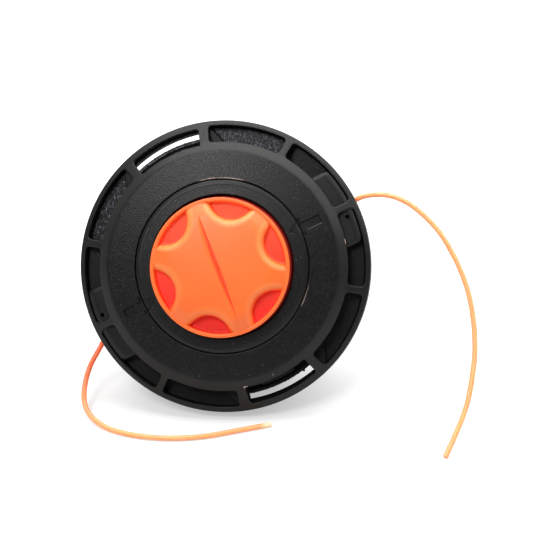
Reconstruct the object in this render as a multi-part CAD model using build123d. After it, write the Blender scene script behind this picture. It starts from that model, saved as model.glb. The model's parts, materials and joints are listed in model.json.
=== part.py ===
from build123d import *
import math
import os

os.makedirs("parts", exist_ok=True)

# A bump-feed trimmer head, in millimetres. It is drawn about its spin axis: +Z is
# the front, where the knob is, and height 0 is the joint between housing and cover.
# The two eyelets lie on the X axis and the two cover latches on the Y axis.

# Rest pose
lean = 23.0
eyelet_turn = 28.5

# Clearances, and how far a joined piece reaches into its neighbour
running_gap = 0.3
collar_gap = 0.4
knob_gap = 0.3
deck_gap = 0.4
lip_gap = 0.1
latch_gap = 0.2
spool_gap = 1.0
lug_gap = 0.5
overlap = 1.0

# Rim: the outside sizes follow from it, inwards
rim_radius = 65.6
skirt_draft = 0.6
skirt_thickness = 2.4
window_depth = 7.7
window_shelf = 0.6
inner_wall_thickness = 2.4
lip_thickness = 1.3
wall_thickness = 3.4
boss_setback = 5.3

# Knob: the sizes around it follow from it, outwards
knob_radius = 30.5
knob_flank = 0.9
collar_width = 6.5
thrust_ring_width = 3.0

# Line
line_radius = 1.2
ridges = 5
line_inset = 1.8
left_run = 0.6
arc_share = 0.45
floor_gap = 0.1
# Where the two loose ends run, for a head of this rim radius: across, back and up
drawn_rim = 65.6
right_route = [
    (62.0, 10.3, 90.6),
    (78.0, 6.4, 91.6),
    (93.9, -1.0, 80.9),
    (103.2, -8.6, 68.2),
    (109.9, -17.2, 54.0),
    (112.6, -28.8, 35.9),
    (110.7, -39.3, 22.3),
    (107.3, -49.7, 11.2),
    (98.7, -64.0, 0.0),
]
left_route = [
    (-58.6, -15.0, 21.7),
    (-64.2, -24.5, 12.6),
    (-63.3, -39.5, 3.1),
    (-53.4, -50.4, 0.0),
    (-39.7, -57.0, 0.0),
    (-22.3, -59.1, 0.0),
    (-5.2, -56.4, 0.0),
    (9.6, -49.8, 0.0),
    (23.2, -44.2, 0.0),
]

# Housing
flange_inset = 0.4
flange_thickness = 3.2
flange_edge = 0.6
housing_depth = 33.0
plate_thickness = 3.0
shoulder_round = 7.0
chamber_round = 2.5
lip_height = 3.0
hub_radius = 17.5
hub_height = 7.0
post_radius = 12.0
post_height = 18.0
rib_count = 8
rib_thickness = 2.4
rib_setback = 20.6
rib_drop = 1.5
deck_drop = 3.7
core_count = 4
core_half_angle = 22.0
core_wall = 1.8
core_cap = 2.6

# Arbor nut
nut_across_flats = 17.0
nut_length = 12.0
nut_recess = 0.5
thread_bore = 4.32
shaft_room = 5.6
post_cap = 3.0
hexagon_sides = 6

# Eyelets and the bosses that hold them
sides = 2
eyelet_level = -7.5
eyelet_body = 3.6
eyelet_flange = 4.8
eyelet_flange_thickness = 1.2
eyelet_bore = 1.6
eyelet_flare = 1.5
boss_half_angle = 10.5
seat_depth = 0.3
boss_half_height = 7.5
pad_half_angle = 17.0
pad_inset = 1.4
pad_rise = 4.3
pad_round = 1.2
pad_edge = 2.5
pad_hole_radius = 0.9
pad_hole_depth = 5.0
pad_hole_setback = 2.5
pad_hole_angle = -4.8

# Cover
ring_front = 13.0
ring_fall = 5.3
ring_thickness = 2.2
rim_edge = 0.9
face_rise = 2.9
opening_rise = 1.3
cover_thickness = 2.6
opening_edge = 0.5
shoulder_width = 4.2
shoulder_edge = 3.2
window_count = 10
window_half_angle = 16.4
window_corner = 1.6
latch_window_step = 1.1
latch_window_half_angle = 15.4

# Cover latches
latch_angle = 90.0
finger_thickness = 1.2
finger_half_angle = 8.0
finger_root = 6.0
hook_reach = 1.4
hook_height = 3.5
bridge_thickness = 1.6
slot_half_angle = 15.8
notch_half_angle = 17.0
ear_radius = 24.0
ear_setback = 18.6
ear_height = 1.2
ear_round = 0.5

# Arrow marks on collar and cover
arrow_depth = 0.9
arrow_tip_step = 1.4
arrow_base_step = 1.0
arrow_half_width = 4.4
shaft_half_width = 1.9
shaft_setback = 3.0

# Spring
spring_radius = 15.0
spring_wire = 0.9
spring_turns = 6.0

# Spool
drum_room = 2.2
drum_thickness = 4.5
spool_flange_thickness = 1.8
spool_back_room = 7.0
spool_front_room = 4.8
divider_thickness = 1.6
crown_setback = 1.8
collar_rise = 0.8
collar_fall = 1.4
collar_round = 1.6
web_step = 1.6
web_thickness = 2.2
web_hole = 6.0
feed_hole = 1.7

# Drive lugs between spool, cover and housing
lug_count = 6
lug_setback = 1.0
lug_half_angle = 6.0
lug_lead = 13.5
front_lug_height = 4.0
rear_lug_height = 2.0

# Knob
knob_cavity_depth = 5.6
pocket_floor_thickness = 2.9
lip_rise = 3.2
dome_edge_rise = 3.2
dome_rise = 1.3
dome_setback = 6.7
dome_round = 6.0
pocket_count = 6
pocket_radius = 9.7
pocket_shift = 0.2
pocket_lip = 1.7
pocket_edge = 2.6
knob_rim_edge = 0.5
pocket_turn = -6.0
groove_radius = 1.75
groove_depth = 1.5
knob_wall = 3.1
knob_cap = 3.6
core_gap = 3.0
leg_count = 3
leg_gap = 2.0
leg_thickness = 2.2
leg_width = 7.0
leg_hook = 1.1
leg_hook_thickness = 1.7
leg_play = 0.5
leg_slot_gap = 0.4

# Wound line
wound_setback = 9.2
wound_gap = 0.15

# Angles
full_turn = 360.0
half_turn = 180.0
quarter_turn = 90.0
lean_angle = math.radians(lean)
lobe_step = full_turn / pocket_count
steep = 0.92

# Radii, from the rim inwards
rim_back_radius = rim_radius + skirt_draft
flange_radius = rim_back_radius - flange_inset
window_outer = rim_radius - skirt_thickness
window_inner = window_outer - window_depth
inner_wall_outer = window_inner - window_shelf
inner_wall_inner = inner_wall_outer - inner_wall_thickness
lip_radius = inner_wall_inner - lip_gap
chamber_radius = lip_radius - lip_thickness
wall_front_radius = chamber_radius + wall_thickness
face_radius = window_inner - shoulder_width
latch_window_inner = window_inner - latch_window_step
deck_outer = window_outer - deck_gap
deck_inner = inner_wall_outer + deck_gap
pad_outer_radius = window_outer - pad_inset
pad_hole_at = pad_outer_radius - pad_hole_setback
boss_radius = rim_radius - boss_setback
seat_radius = boss_radius - seat_depth
eyelet_mouth = seat_radius + eyelet_flange_thickness
rib_reach = rim_radius - rib_setback
finger_outer = inner_wall_outer + finger_thickness
hook_outer = finger_outer + hook_reach
slot_outer = finger_outer + latch_gap
notch_inner = slot_outer + bridge_thickness
notch_outer = window_outer + latch_gap
ear_centre = rim_radius - ear_setback
spool_flange_radius = chamber_radius - spool_gap
lug_outer = spool_flange_radius - lug_setback
wound_radius = spool_flange_radius - wound_setback

# Radii, from the knob and the spring outwards
collar_inner = knob_radius + knob_flank + knob_gap
collar_outer = collar_inner + collar_width
collar_crown = collar_outer - crown_setback
opening_radius = collar_outer + collar_gap
thrust_ring_outer = collar_outer + thrust_ring_width
lug_inner = thrust_ring_outer + lug_gap
star_radius = knob_radius - pocket_lip
knob_dome_radius = knob_radius - dome_setback
knob_cavity_radius = knob_radius - knob_wall
pocket_at = knob_radius + pocket_shift
leg_radius = spring_radius + leg_gap
knob_core_radius = spring_radius + core_gap
drum_inner = leg_radius + leg_thickness + leg_hook + drum_room
drum_outer = drum_inner + drum_thickness
arrow_tip = collar_inner + arrow_tip_step
arrow_base = opening_radius + arrow_base_step
shaft_end = face_radius - shaft_setback

# Heights
plate_back = -housing_depth
plate_front = plate_back + plate_thickness
hub_back = plate_back - hub_height
post_front = plate_front + post_height
boss_back = eyelet_level - boss_half_height
ring_back = ring_front - ring_thickness
lip_front = ring_front - ring_fall
ring_slope = ring_fall / (rim_radius - window_inner)
deck_top = lip_front - deck_drop
pad_top = deck_top + pad_rise
ear_top = deck_top + ear_height
face_front = ring_front + face_rise
opening_front = face_front + opening_rise
face_slope = opening_rise / (face_radius - opening_radius)
collar_front = opening_front + collar_rise
collar_inner_front = collar_front - collar_fall
hook_front = -flange_thickness - running_gap
finger_back = hook_front - hook_height
spool_back = plate_front + spool_back_room
spool_front = ring_front - spool_front_room
lane_back = spool_back + spool_flange_thickness
lane_front = spool_front - spool_flange_thickness
divider_back = eyelet_level - divider_thickness / 2
divider_front = eyelet_level + divider_thickness / 2
cover_lug_back = spool_front + spool_gap
web_back = spool_front + web_step
web_front = web_back + web_thickness
knob_cavity_front = web_front + knob_cavity_depth
pocket_floor = knob_cavity_front + pocket_floor_thickness
knob_lip_front = pocket_floor + lip_rise
knob_dome_edge = knob_lip_front + dome_edge_rise
knob_top = knob_dome_edge + dome_rise
knob_core_front = knob_top - knob_cap
leg_back = web_back - leg_hook_thickness - leg_play

# The shoulder's round touches the floor at the same time as the flange's rear edge.
shoulder_centre_height = plate_back + shoulder_round
edge_drop = flange_edge - flange_thickness - shoulder_centre_height
shoulder_step = (shoulder_round - flange_edge + edge_drop * math.sin(lean_angle)) / math.cos(lean_angle)
shoulder_radius = flange_radius - flange_edge - shoulder_step + shoulder_round


def face_height(radius):
    """Height of the cover's front face at a radius."""
    return opening_front - face_slope * (radius - opening_radius)


def ring_height(radius):
    """Height of the cover's sloping ring at a radius."""
    return ring_front - ring_slope * (radius - window_inner)


def outline(points):
    """A flat face in the radius and height plane from corner points."""
    return make_face(Polyline(*points, close=True))


def round_corner(face, point, radius):
    """Rounds the corner of a flat face that lies nearest to a point."""
    corner = min(face.vertices(), key=lambda v: math.hypot(v.X - point[0], v.Y - point[1]))
    return fillet(corner, radius)


def turned(face):
    """Turns a face of the radius and height plane about the spin axis."""
    return revolve(Plane.XZ * face, Axis.Z)


def tube(outer, inner, low, high):
    """A plain ring between two radii and two heights."""
    return turned(outline([(inner, low), (outer, low), (outer, high), (inner, high)]))


def rod(radius, low, high):
    """A plain cylinder on the spin axis between two heights."""
    return Pos(0, 0, low) * extrude(Circle(radius), high - low)


def sector(inner, outer, low, high, half_angle, middle=0.0):
    """A slice of a ring, centred on an angle about the spin axis."""
    face = outline([(inner, low), (outer, low), (outer, high), (inner, high)])
    slice_ = revolve(Plane.XZ * face, Axis.Z, revolution_arc=2 * half_angle)
    ends = slice_.bounding_box()
    if ends.max.Y > -ends.min.Y:
        return Rot(0, 0, middle - half_angle) * slice_
    return Rot(0, 0, middle + half_angle) * slice_


def around(shape, count, first=0.0):
    """Copies of a shape at equal angles about the spin axis."""
    return [Rot(0, 0, first + full_turn * k / count) * shape for k in range(count)]


def upright_edges(shape):
    """The straight edges of a shape that run along the spin axis."""
    return shape.edges().filter_by(Axis.Z)


# Housing: a bowl with a flange, turned in one profile
bowl = outline(
    [
        (0, plate_back),
        (shoulder_radius, plate_back),
        (wall_front_radius, -flange_thickness),
        (flange_radius, -flange_thickness),
        (flange_radius, 0),
        (lip_radius, 0),
        (lip_radius, lip_height),
        (chamber_radius, lip_height),
        (chamber_radius, plate_front),
        (0, plate_front),
    ]
)
bowl = round_corner(bowl, (shoulder_radius, plate_back), shoulder_round)
bowl = round_corner(bowl, (flange_radius, -flange_thickness), flange_edge)
bowl = round_corner(bowl, (chamber_radius, plate_front), chamber_round)
housing = turned(bowl)
housing += rod(hub_radius, hub_back, plate_back)
housing += rod(post_radius, plate_front, post_front)

# Stiffening ribs on the back run from the hub out over the plate
rib_face = outline(
    [
        (post_radius, plate_back),
        (post_radius, hub_back + rib_drop),
        (hub_radius, hub_back + rib_drop),
        (rib_reach, plate_back - rib_drop),
        (rib_reach, plate_back),
    ]
)
rib = extrude(Plane.XZ * rib_face, rib_thickness / 2, both=True)
housing += around(rib, rib_count, half_turn / rib_count)

# A raised deck on the flange fills the cover's channel, and is cored out from behind
housing += tube(deck_outer, deck_inner, -flange_thickness / 2, deck_top)
core = sector(
    deck_inner + core_wall, deck_outer - core_wall, -flange_thickness, deck_top - core_cap, core_half_angle
)
for cut in around(core, core_count, half_turn / core_count):
    housing -= cut

# Bosses that carry the eyelets, and the pads on the deck in front of them
boss = sector(wall_front_radius - overlap, boss_radius, boss_back, 0, boss_half_angle)
boss = fillet(boss.edges().filter_by(GeomType.LINE).group_by(SortBy.DISTANCE)[-1], pad_round)
pad = sector(deck_inner, pad_outer_radius, deck_top - overlap, pad_top, pad_half_angle)
pad_rim = pad.faces().sort_by(Axis.Z)[-1].edges()
pad_outer_edge = pad_rim.sort_by(SortBy.LENGTH)[-1]
pad = fillet(pad_outer_edge, pad_edge)
pad = fillet(pad.faces().sort_by(Axis.Z)[-1].edges().filter_by(GeomType.LINE), pad_round)
pad_hole = rod(pad_hole_radius, pad_top - pad_hole_depth, pad_top)
pad_hole = Rot(0, 0, pad_hole_angle) * Pos(pad_hole_at, 0, 0) * pad_hole
eyelet_seat = Pos(0, 0, eyelet_level) * extrude(Plane.YZ * Circle(eyelet_body), boss_radius)
for side in around(boss, sides) + around(pad, sides):
    housing += side
for side in around(pad_hole, sides) + around(eyelet_seat, sides):
    housing -= side

# Room in the hub for the arbor nut and the end of the shaft
hexagon = RegularPolygon(nut_across_flats / 2, hexagon_sides, major_radius=False)
nut_back = hub_back + nut_recess
nut_front = nut_back + nut_length
housing -= Pos(0, 0, hub_back) * extrude(hexagon, nut_front - hub_back)
housing -= rod(shaft_room, nut_front, post_front - post_cap)

# Smooth ears on the deck, then the latch slots and the open notches outside them
ear = Pos(0, ear_centre, 0) * rod(ear_radius, deck_top - overlap, ear_top)
ear = ear & tube(deck_outer, deck_inner, deck_top - overlap, ear_top)
ear = fillet(ear.faces().sort_by(Axis.Z)[-1].edges(), ear_round)
for side in around(ear, sides):
    housing += side
slot = sector(wall_front_radius, slot_outer, -flange_thickness, ear_top, slot_half_angle, latch_angle)
notch = sector(notch_inner, notch_outer, -flange_thickness, ear_top, notch_half_angle, latch_angle)
for cut in around(slot, sides) + around(notch, sides):
    housing -= cut

# Rear lugs stop the spool when it is pushed in
rear_lug = sector(lug_inner, lug_outer, plate_front, plate_front + rear_lug_height, lug_half_angle)
for lug in around(rear_lug, lug_count, half_turn / lug_count):
    housing += lug

# Arbor nut with a plain bore at the thread's minor radius
nut = Pos(0, 0, nut_back) * extrude(hexagon - Circle(thread_bore), nut_length)

# Eyelet: a flanged bush with a flared mouth, lying along X
eyelet_face = outline(
    [
        (eyelet_bore, chamber_radius),
        (eyelet_body, chamber_radius),
        (eyelet_body, seat_radius),
        (eyelet_flange, seat_radius),
        (eyelet_flange, eyelet_mouth),
        (eyelet_bore, eyelet_mouth),
    ]
)
eyelet_face = round_corner(eyelet_face, (eyelet_bore, eyelet_mouth), eyelet_flare)
eyelet_face = round_corner(eyelet_face, (eyelet_flange, eyelet_mouth), eyelet_flange_thickness / 2)
eyelet = Pos(0, 0, eyelet_level) * Rot(0, quarter_turn, 0) * turned(eyelet_face)
# The boss is flat where the eyelet's flange sits on it.
seat_flat = extrude(Plane.YZ * Circle(eyelet_flange), eyelet_flange_thickness)
seat_flat = Pos(seat_radius, 0, eyelet_level) * seat_flat
for side in around(seat_flat, sides):
    housing -= side

# Cover: face, shoulder, ring and two skirts, turned in one profile
shell = outline(
    [
        (opening_radius, opening_front - cover_thickness),
        (opening_radius, opening_front - opening_edge),
        (opening_radius + opening_edge, face_height(opening_radius + opening_edge)),
        (face_radius, face_front),
        (window_inner, ring_front),
        (rim_radius, lip_front),
        (rim_back_radius, 0),
        (window_outer, 0),
        (window_outer, ring_height(window_outer) - ring_thickness),
        (inner_wall_outer, ring_height(inner_wall_outer) - ring_thickness),
        (inner_wall_outer, 0),
        (inner_wall_inner, 0),
        (inner_wall_inner, face_front - cover_thickness),
        (face_radius, face_front - cover_thickness),
    ]
)
shell = round_corner(shell, (face_radius, face_front), shoulder_edge)
shell = round_corner(shell, (rim_radius, lip_front), rim_edge)
cover = turned(shell)

# Windows through the ring: two plain ones over the latches, the rest rounded
window = sector(window_inner, window_outer, 0, ring_front, window_half_angle)
window = fillet(upright_edges(window), window_corner)
latch_window = sector(window_inner, window_outer, 0, ring_front, latch_window_half_angle, latch_angle)
latch_window += sector(
    latch_window_inner, window_inner, ring_back, face_front, latch_window_half_angle, latch_angle
)
window_pitch = full_turn / window_count
for k in range(window_count):
    middle = window_pitch * (k + 0.5)
    if abs(middle % half_turn - latch_angle) > window_half_angle:
        cover -= Rot(0, 0, middle) * window
for side in around(latch_window, sides):
    cover -= side

# Latch fingers hook behind the flange
finger = sector(inner_wall_outer - overlap, finger_outer, 0, finger_root, finger_half_angle, latch_angle)
finger += sector(inner_wall_outer, finger_outer, finger_back, 0, finger_half_angle, latch_angle)
finger += sector(inner_wall_outer, hook_outer, finger_back, hook_front, finger_half_angle, latch_angle)
for side in around(finger, sides):
    cover += side

# Lugs under the face drive the spool
cover_lug = sector(lug_inner, lug_outer, cover_lug_back, face_front - cover_thickness / 2, lug_half_angle)
for lug in around(cover_lug, lug_count):
    cover += lug

# Arrow marks: the head of each is on the collar and its shaft on the cover
arrow = Polyline(
    (arrow_tip, 0),
    (arrow_base, arrow_half_width),
    (arrow_base, shaft_half_width),
    (shaft_end, shaft_half_width),
    (shaft_end, -shaft_half_width),
    (arrow_base, -shaft_half_width),
    (arrow_base, -arrow_half_width),
    close=True,
)
arrow_prism = extrude(make_face(arrow), knob_top)
cover_skin = turned(
    outline(
        [
            (opening_radius - overlap, face_height(opening_radius - overlap) - arrow_depth),
            (face_radius, face_front - arrow_depth),
            (face_radius, knob_top),
            (opening_radius - overlap, knob_top),
        ]
    )
)
for side in around(arrow_prism & cover_skin, sides):
    cover -= side

# Spool: drum, two flanges, divider and the collar around the knob
spool = tube(drum_outer, drum_inner, spool_back, spool_front)
spool += tube(spool_flange_radius, drum_inner, spool_back, lane_back)
spool += tube(spool_flange_radius, drum_inner, lane_front, spool_front)
spool += tube(spool_flange_radius, drum_inner, divider_back, divider_front)
collar = outline(
    [
        (collar_inner, lane_front),
        (collar_outer, lane_front),
        (collar_outer, opening_front),
        (collar_crown, collar_front),
        (collar_inner, collar_inner_front),
    ]
)
collar = round_corner(collar, (collar_outer, opening_front), opening_edge)
collar = round_corner(collar, (collar_crown, collar_front), collar_round)
spool += turned(collar)
spool += tube(collar_inner + overlap, web_hole, web_back, web_front)
spool += tube(collar_inner + overlap, drum_inner, lane_front, web_back)
thrust_front = face_height(thrust_ring_outer) - cover_thickness - running_gap
spool += tube(thrust_ring_outer, collar_outer - overlap, lane_front, thrust_front)

# Spool lugs face the cover in front and the housing behind
spool_front_lug = sector(lug_inner, lug_outer, lane_front, spool_front + front_lug_height, lug_half_angle)
for lug in around(spool_front_lug, lug_count, lug_lead):
    spool += lug
spool_rear_lug = sector(lug_inner, lug_outer, spool_back - rear_lug_height, lane_back, lug_half_angle)
for lug in around(spool_rear_lug, lug_count, lug_lead):
    spool += lug

# Holes where the line enters the drum, on each side of the divider
entry = extrude(Plane.YZ * Circle(feed_hole), drum_outer + overlap)
lane_shift = divider_thickness / 2 + feed_hole + running_gap
spool -= Pos(0, 0, eyelet_level + lane_shift) * entry
spool -= Pos(0, 0, eyelet_level - lane_shift) * Rot(0, 0, half_turn) * entry

# Arrow heads on the collar
collar_skin = turned(
    outline(
        [
            (collar_inner, collar_inner_front - arrow_depth),
            (collar_crown, collar_front - arrow_depth),
            (collar_outer, opening_front - arrow_depth),
            (collar_outer, knob_top),
            (collar_inner, knob_top),
        ]
    )
)
for side in around(arrow_prism & collar_skin, sides):
    spool -= side

# Knob: a dome is turned, pockets are cut and rounded, then a thin rim closes them
knob_back = web_front
star_profile = outline(
    [
        (0, knob_back),
        (star_radius, knob_back),
        (star_radius, knob_lip_front),
        (knob_dome_radius, knob_dome_edge),
        (0, knob_top),
    ]
)
star_profile = round_corner(star_profile, (knob_dome_radius, knob_dome_edge), dome_round)
knob = turned(star_profile)
pocket = Pos(pocket_at, 0, 0) * rod(pocket_radius, pocket_floor, knob_top + overlap)
for cut in around(pocket, pocket_count, pocket_turn):
    knob -= cut
pocket_walls = knob.faces().filter_by(lambda face: face.geom_type == GeomType.CYLINDER)
pocket_walls = pocket_walls.filter_by(lambda face: abs(face.radius - pocket_radius) < running_gap)
pocket_rims = []
for wall in pocket_walls:
    for edge in wall.edges():
        lowest = min(corner.Z for corner in edge.vertices())
        level = max(corner.Z for corner in edge.vertices()) - lowest < running_gap
        at_floor = level and lowest < pocket_floor + running_gap
        upright = abs((edge % 0).Z) > steep
        if not at_floor and not upright:
            pocket_rims.append(edge)
knob = fillet(pocket_rims, pocket_edge)
rim_face = outline(
    [
        (star_radius - running_gap, knob_back),
        (knob_radius + knob_flank, knob_back),
        (knob_radius, knob_lip_front),
        (star_radius, knob_lip_front),
        (star_radius, pocket_floor),
        (star_radius - running_gap, pocket_floor),
    ]
)
rim_face = round_corner(rim_face, (knob_radius, knob_lip_front), knob_rim_edge)
knob += turned(rim_face)
lobe_angle = pocket_turn + lobe_step * 1.5
groove = extrude(Plane.YZ * Circle(groove_radius), knob_radius, both=True)
groove_height = knob_top - groove_depth + groove_radius
knob -= Rot(0, 0, lobe_angle) * Pos(0, 0, groove_height) * groove
knob -= rod(knob_cavity_radius, knob_back, knob_cavity_front)
knob -= rod(knob_core_radius, knob_cavity_front, knob_core_front)

# Snap legs hold the knob in the spool's web
leg_room = leg_thickness + leg_hook + leg_slot_gap
leg_middle = leg_radius + leg_thickness / 2
leg = Pos(leg_middle, 0, leg_back) * extrude(Rectangle(leg_thickness, leg_width), knob_core_front - leg_back)
hook_middle = leg_radius + (leg_thickness + leg_hook) / 2
leg_hook_box = extrude(Rectangle(leg_thickness + leg_hook, leg_width), leg_hook_thickness)
leg += Pos(hook_middle, 0, leg_back) * leg_hook_box
leg_slot_middle = leg_radius - leg_slot_gap + (leg_room + leg_slot_gap) / 2
leg_slot_face = Rectangle(leg_room + leg_slot_gap, leg_width + 2 * leg_slot_gap)
leg_slot = Pos(leg_slot_middle, 0, web_back) * extrude(leg_slot_face, web_thickness)
for part in around(leg, leg_count):
    knob += part
for cut in around(leg_slot, leg_count):
    spool -= cut

# Spring between the housing's plate and the spool's web, with ends ground flat
spring_length = web_back - plate_front
spring_pitch = spring_length / spring_turns
spring_path = Helix(spring_pitch, spring_length, spring_radius)
spring_section = Plane(origin=spring_path @ 0, z_dir=spring_path % 0) * Circle(spring_wire)
spring = Pos(0, 0, plate_front) * sweep(spring_section, path=spring_path)
spring_room = tube(spring_radius + 2 * spring_wire, spring_radius - 2 * spring_wire, plate_front, web_back)
spring = spring & spring_room


def wound(low, high):
    """A lane full of line: one ring whose outside shows the turns."""
    middle = (low + high) / 2
    width = high - low - 2 * (line_radius + wound_gap)
    ridge_pitch = width / (ridges - 1)
    depth = wound_radius - drum_outer - wound_gap
    face = Pos((wound_radius + drum_outer + wound_gap) / 2, middle) * Rectangle(depth, width)
    for k in range(ridges):
        face += Pos(wound_radius, middle - width / 2 + ridge_pitch * k) * Circle(line_radius)
    return turned(face)


wound_front = wound(divider_front, lane_front)
wound_back = wound(lane_back, divider_back)

# Every piece but the loose line, still about the spin axis
pieces = {
    "upper_housing": housing,
    "lower_cover": cover,
    "spool": spool,
    "bump_knob": knob,
    "compression_spring": spring,
    "arbor_nut": nut,
    "eyelet_right": eyelet,
    "eyelet_left": Rot(0, 0, half_turn) * eyelet,
    "wound_line_front": wound_front,
    "wound_line_rear": wound_back,
}

# The head leans back on its flange and shoulder, over the middle of its footprint
stand = Rot(quarter_turn - lean, 0, 0) * Rot(0, 0, eyelet_turn)
boxes = [(stand * shape).bounding_box() for shape in pieces.values()]
low_x = min(box.min.X for box in boxes)
low_y = min(box.min.Y for box in boxes)
low_z = min(box.min.Z for box in boxes)
high_x = max(box.max.X for box in boxes)
high_y = max(box.max.Y for box in boxes)
high_z = max(box.max.Z for box in boxes)
place = Pos(-(low_x + high_x) / 2, -(low_y + high_y) / 2, -low_z) * stand
print("size", high_x - low_x, high_y - low_y, high_z - low_z)
print("shift", -(low_x + high_x) / 2, -(low_y + high_y) / 2, -low_z)

standing = {name: place * shape for name, shape in pieces.items()}


route_scale = rim_radius / drawn_rim


def tail(side, exit_radius, route):
    """Loose line from inside an eyelet along a route, as straight runs and arcs."""
    first = (place * Pos(side * (chamber_radius + line_inset), 0, eyelet_level)).position
    second = (place * Pos(side * exit_radius, 0, eyelet_level)).position
    points = [first, second]
    for point in route:
        points.append(Vector(*point) * route_scale + Vector(0, 0, line_radius + floor_gap))
    runs = [after - before for before, after in zip(points, points[1:])]
    radii = []
    for before, after in zip(runs, runs[1:]):
        half_bend = math.radians(before.get_angle(after)) / 2
        radii.append(arc_share * min(before.length, after.length) / math.tan(half_bend))
    path = FilletPolyline(*points, radius=radii)
    section = Plane(origin=path @ 0, z_dir=path % 0) * Circle(line_radius)
    body = sweep(section, path=path)
    print("points", [tuple(round(number, 2) for number in point) for point in points])
    print("runs", [round(run.length, 1) for run in runs])
    print("radii", [round(radius, 1) for radius in radii])
    print("length", path.length, "volume", body.volume, "expected", path.length * math.pi * line_radius**2)
    return body


standing["line_tail_right"] = tail(1, eyelet_mouth, right_route)
standing["line_tail_left"] = tail(-1, eyelet_mouth + left_run, left_route)

for name, shape in standing.items():
    export_step(shape, "parts/" + name + ".step")
    print(name, round(shape.volume), "mm3")
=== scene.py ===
# %% [markdown]
# # A bump-feed trimmer head
# The CAD model already holds every piece of the head in its real place. This lesson
# loads that model as a fixed frame, works out where the head's spin axis is, and then
# gives each piece the skin, the edges and the finish that it has in the photograph.

# %% Load the frame
import json
import math
from collections import namedtuple

import bmesh
import bpy
from mathutils import Matrix, Vector, noise


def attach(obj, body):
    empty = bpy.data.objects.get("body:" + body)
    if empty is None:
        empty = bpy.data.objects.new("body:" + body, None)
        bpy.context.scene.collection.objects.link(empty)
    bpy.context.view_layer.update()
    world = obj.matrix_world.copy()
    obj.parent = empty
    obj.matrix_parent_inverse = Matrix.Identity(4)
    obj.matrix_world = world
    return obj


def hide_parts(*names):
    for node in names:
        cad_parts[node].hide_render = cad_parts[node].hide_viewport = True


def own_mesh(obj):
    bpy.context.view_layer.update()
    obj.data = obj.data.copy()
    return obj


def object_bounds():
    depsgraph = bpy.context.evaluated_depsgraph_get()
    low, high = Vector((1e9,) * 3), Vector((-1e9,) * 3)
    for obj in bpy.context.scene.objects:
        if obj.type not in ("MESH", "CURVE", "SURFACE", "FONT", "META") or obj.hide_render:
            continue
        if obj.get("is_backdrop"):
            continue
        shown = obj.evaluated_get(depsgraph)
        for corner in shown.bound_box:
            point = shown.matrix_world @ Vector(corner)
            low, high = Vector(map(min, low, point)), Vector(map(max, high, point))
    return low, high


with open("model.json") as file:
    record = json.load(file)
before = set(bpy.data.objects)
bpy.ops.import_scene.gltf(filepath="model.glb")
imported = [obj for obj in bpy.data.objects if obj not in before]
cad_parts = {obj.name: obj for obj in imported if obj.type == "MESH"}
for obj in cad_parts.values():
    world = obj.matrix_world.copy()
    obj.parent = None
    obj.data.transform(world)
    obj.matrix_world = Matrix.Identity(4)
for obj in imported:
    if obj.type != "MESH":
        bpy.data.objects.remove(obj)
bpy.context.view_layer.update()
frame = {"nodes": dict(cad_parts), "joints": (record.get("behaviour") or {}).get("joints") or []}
nodes = frame["nodes"]
scene = bpy.context.scene
MM = 0.001
print("nodes", sorted(nodes))

# %% [markdown]
# The winding joint runs along the head's spin axis, so the record itself says where
# that axis is and how far the head leans. Everything round is easier to draw about an
# upright axis, so the matrix below carries a point drawn that way into its real place:
# first a turn that brings the eyelets to where they are, then the lean, then the move.

# %% Find the spin axis
wind = next(joint for joint in frame["joints"] if joint["name"] == "wind")
axis_point = Vector(wind["pos_m"])
axis = Vector(wind["axis"]).normalized()
across = Vector((1, 0, 0))
upward = axis.cross(across)
EYELET_TURN = math.radians(28.5)
lean_turn = Matrix((across, upward, axis)).transposed().to_4x4()
head_place = Matrix.Translation(axis_point) @ lean_turn @ Matrix.Rotation(EYELET_TURN, 4, "Z")
print("lean", round(math.degrees(math.asin(axis.z)), 2))
print("axis point", tuple(round(v, 4) for v in axis_point))

# %% [markdown]
# The camera stands where the photographer stood: a little above the knob, slightly to
# the right, about 45 cm away. Its place was worked out from the ellipses that the rim,
# the windows and the knob make in the picture.

# %% Camera
HALF_PICTURE, FOCAL_PIXELS = 275, 989.17
photo_camera = bpy.data.objects.new("photo_camera", bpy.data.cameras.new("photo_camera"))
scene.collection.objects.link(photo_camera)
photo_camera.location = (0.052944, -0.41973, 0.240948)
look = Vector((-0.06769, 0.91194, -0.40469))
photo_camera.rotation_euler = look.to_track_quat("-Z", "Y").to_euler()
photo_camera.data.sensor_fit = "HORIZONTAL"
photo_camera.data.angle = 2 * math.atan(HALF_PICTURE / FOCAL_PIXELS)
photo_camera.data.clip_start = 0.01
scene.camera = photo_camera
print("camera angle", round(math.degrees(photo_camera.data.angle), 2))

# %% [markdown]
# Effects that several finishes share are node groups. These few helpers keep the node
# building short: add a node, wire it, do a sum, mix two colours, stretch a range.

# %% Helpers for node trees
def wire(tree, source, target):
    tree.links.new(source, target)


def new_group(name, inputs, outputs):
    group = bpy.data.node_groups.new(name, "ShaderNodeTree")
    for label, value in inputs:
        group.interface.new_socket(label, in_out="INPUT", socket_type="NodeSocketFloat").default_value = value
    for label in outputs:
        group.interface.new_socket(label, in_out="OUTPUT", socket_type="NodeSocketFloat")
    return group, group.nodes.new("NodeGroupInput"), group.nodes.new("NodeGroupOutput")


def add(tree, kind, **settings):
    node = tree.nodes.new(kind)
    for key, value in settings.items():
        setattr(node, key, value)
    return node


def feed(tree, socket, value):
    if hasattr(value, "links"):
        wire(tree, value, socket)
    else:
        socket.default_value = value


def maths(tree, operation, *values):
    node = add(tree, "ShaderNodeMath", operation=operation)
    for socket, value in zip(node.inputs, values):
        feed(tree, socket, value)
    return node.outputs[0]


def times(tree, first, *others):
    for other in others:
        first = maths(tree, "MULTIPLY", first, other)
    return first


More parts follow.
